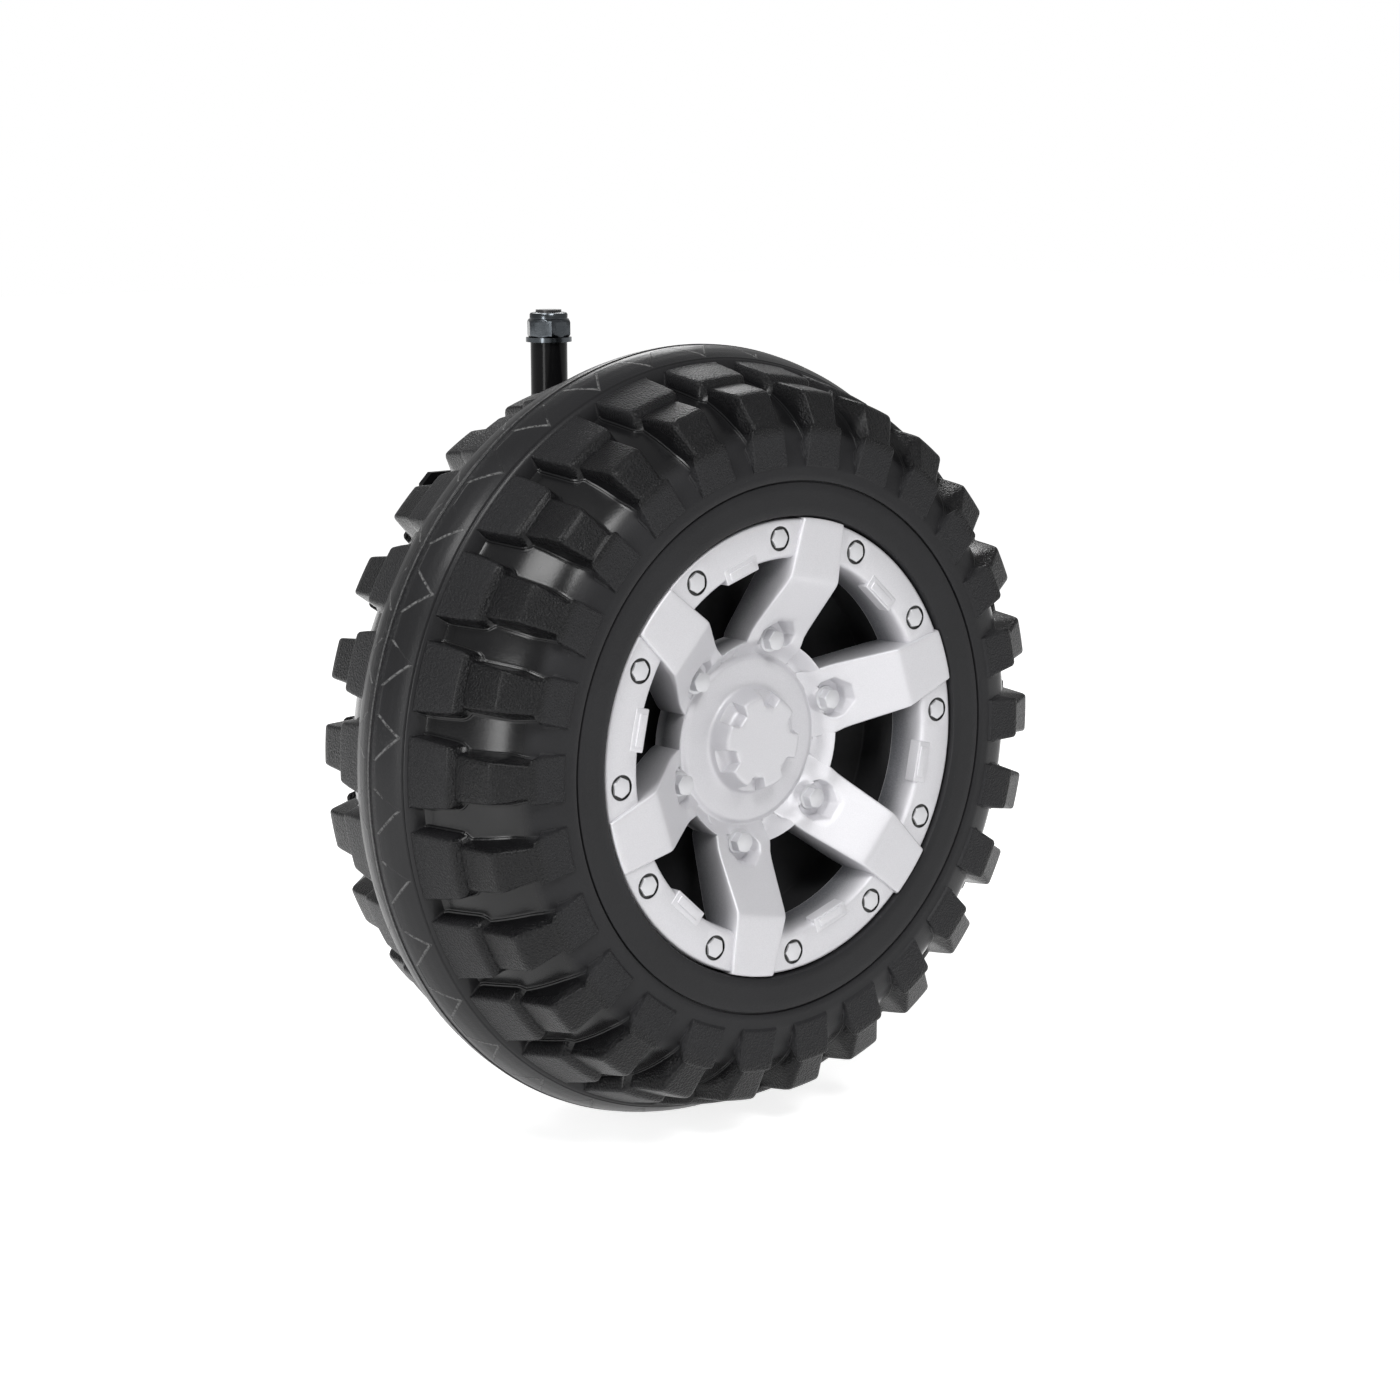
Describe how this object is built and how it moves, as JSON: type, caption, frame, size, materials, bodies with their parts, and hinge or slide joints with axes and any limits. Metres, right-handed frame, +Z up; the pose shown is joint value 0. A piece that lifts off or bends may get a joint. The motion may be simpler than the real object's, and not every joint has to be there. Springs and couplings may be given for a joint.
{
  "type": "ride-on toy off-road wheel with steering knuckle and drive motor",
  "caption": "Front wheel unit of a child's ride-on off-road toy: lugged plastic wheel with spoked cap on a steered bent axle rod, with its sleeve, flange, gearbox and motor.",
  "frame": {"origin": "centre of the flange's inboard face, where the unit bolts to the vehicle's front frame", "axes": "+Z up, -Y outboard towards the wheel's cap, +X towards the vehicle's rear"},
  "size_m": [0.4026, 0.268, 0.4161],
  "materials": {
    "black_wheel_plastic": "satin",
    "silver_cap": "satin",
    "silver_bolts": "satin",
    "silver_nuts": "satin",
    "bush_plastic": "matte",
    "rod_steel": "satin",
    "zinc": "satin",
    "black_steel": "satin",
    "gearbox_plastic": "satin",
    "gearbox_cover_plastic": "satin",
    "screw_zinc": "satin",
    "grey_steel": "matte",
    "motor_can": "satin",
    "shroud_plastic": "satin"
  },
  "bodies": {
    "frame": {"kingpin_sleeve": "black_steel", "beam_stub": "black_steel", "mount_flange": "black_steel"},
    "knuckle": {"bent_rod": "rod_steel", "washers": "zinc", "lock_nuts": "zinc", "steering_arm": "black_steel", "gearbox_housing": "gearbox_plastic", "gearbox_cover": "gearbox_cover_plastic", "cover_screws": "screw_zinc", "torque_plate": "grey_steel", "motor": "motor_can", "motor_shroud": "shroud_plastic"},
    "wheel": {"tyre": "black_wheel_plastic", "wheel_cap": "silver_cap", "ring_bolts": "silver_bolts", "lug_nuts": "silver_nuts", "axle_bushes": "bush_plastic"}
  },
  "joints": [
    {"name": "steer", "type": "hinge", "parent": "frame", "child": "knuckle", "pos_m": [0, -0.07, 0], "axis": [0, 0, 1], "range_deg": [-25, 25]},
    {"name": "wheel_spin", "type": "hinge", "parent": "knuckle", "child": "wheel", "pos_m": [0, -0.264, -0.1], "axis": [0, 1, 0], "continuous": true}
  ]
}
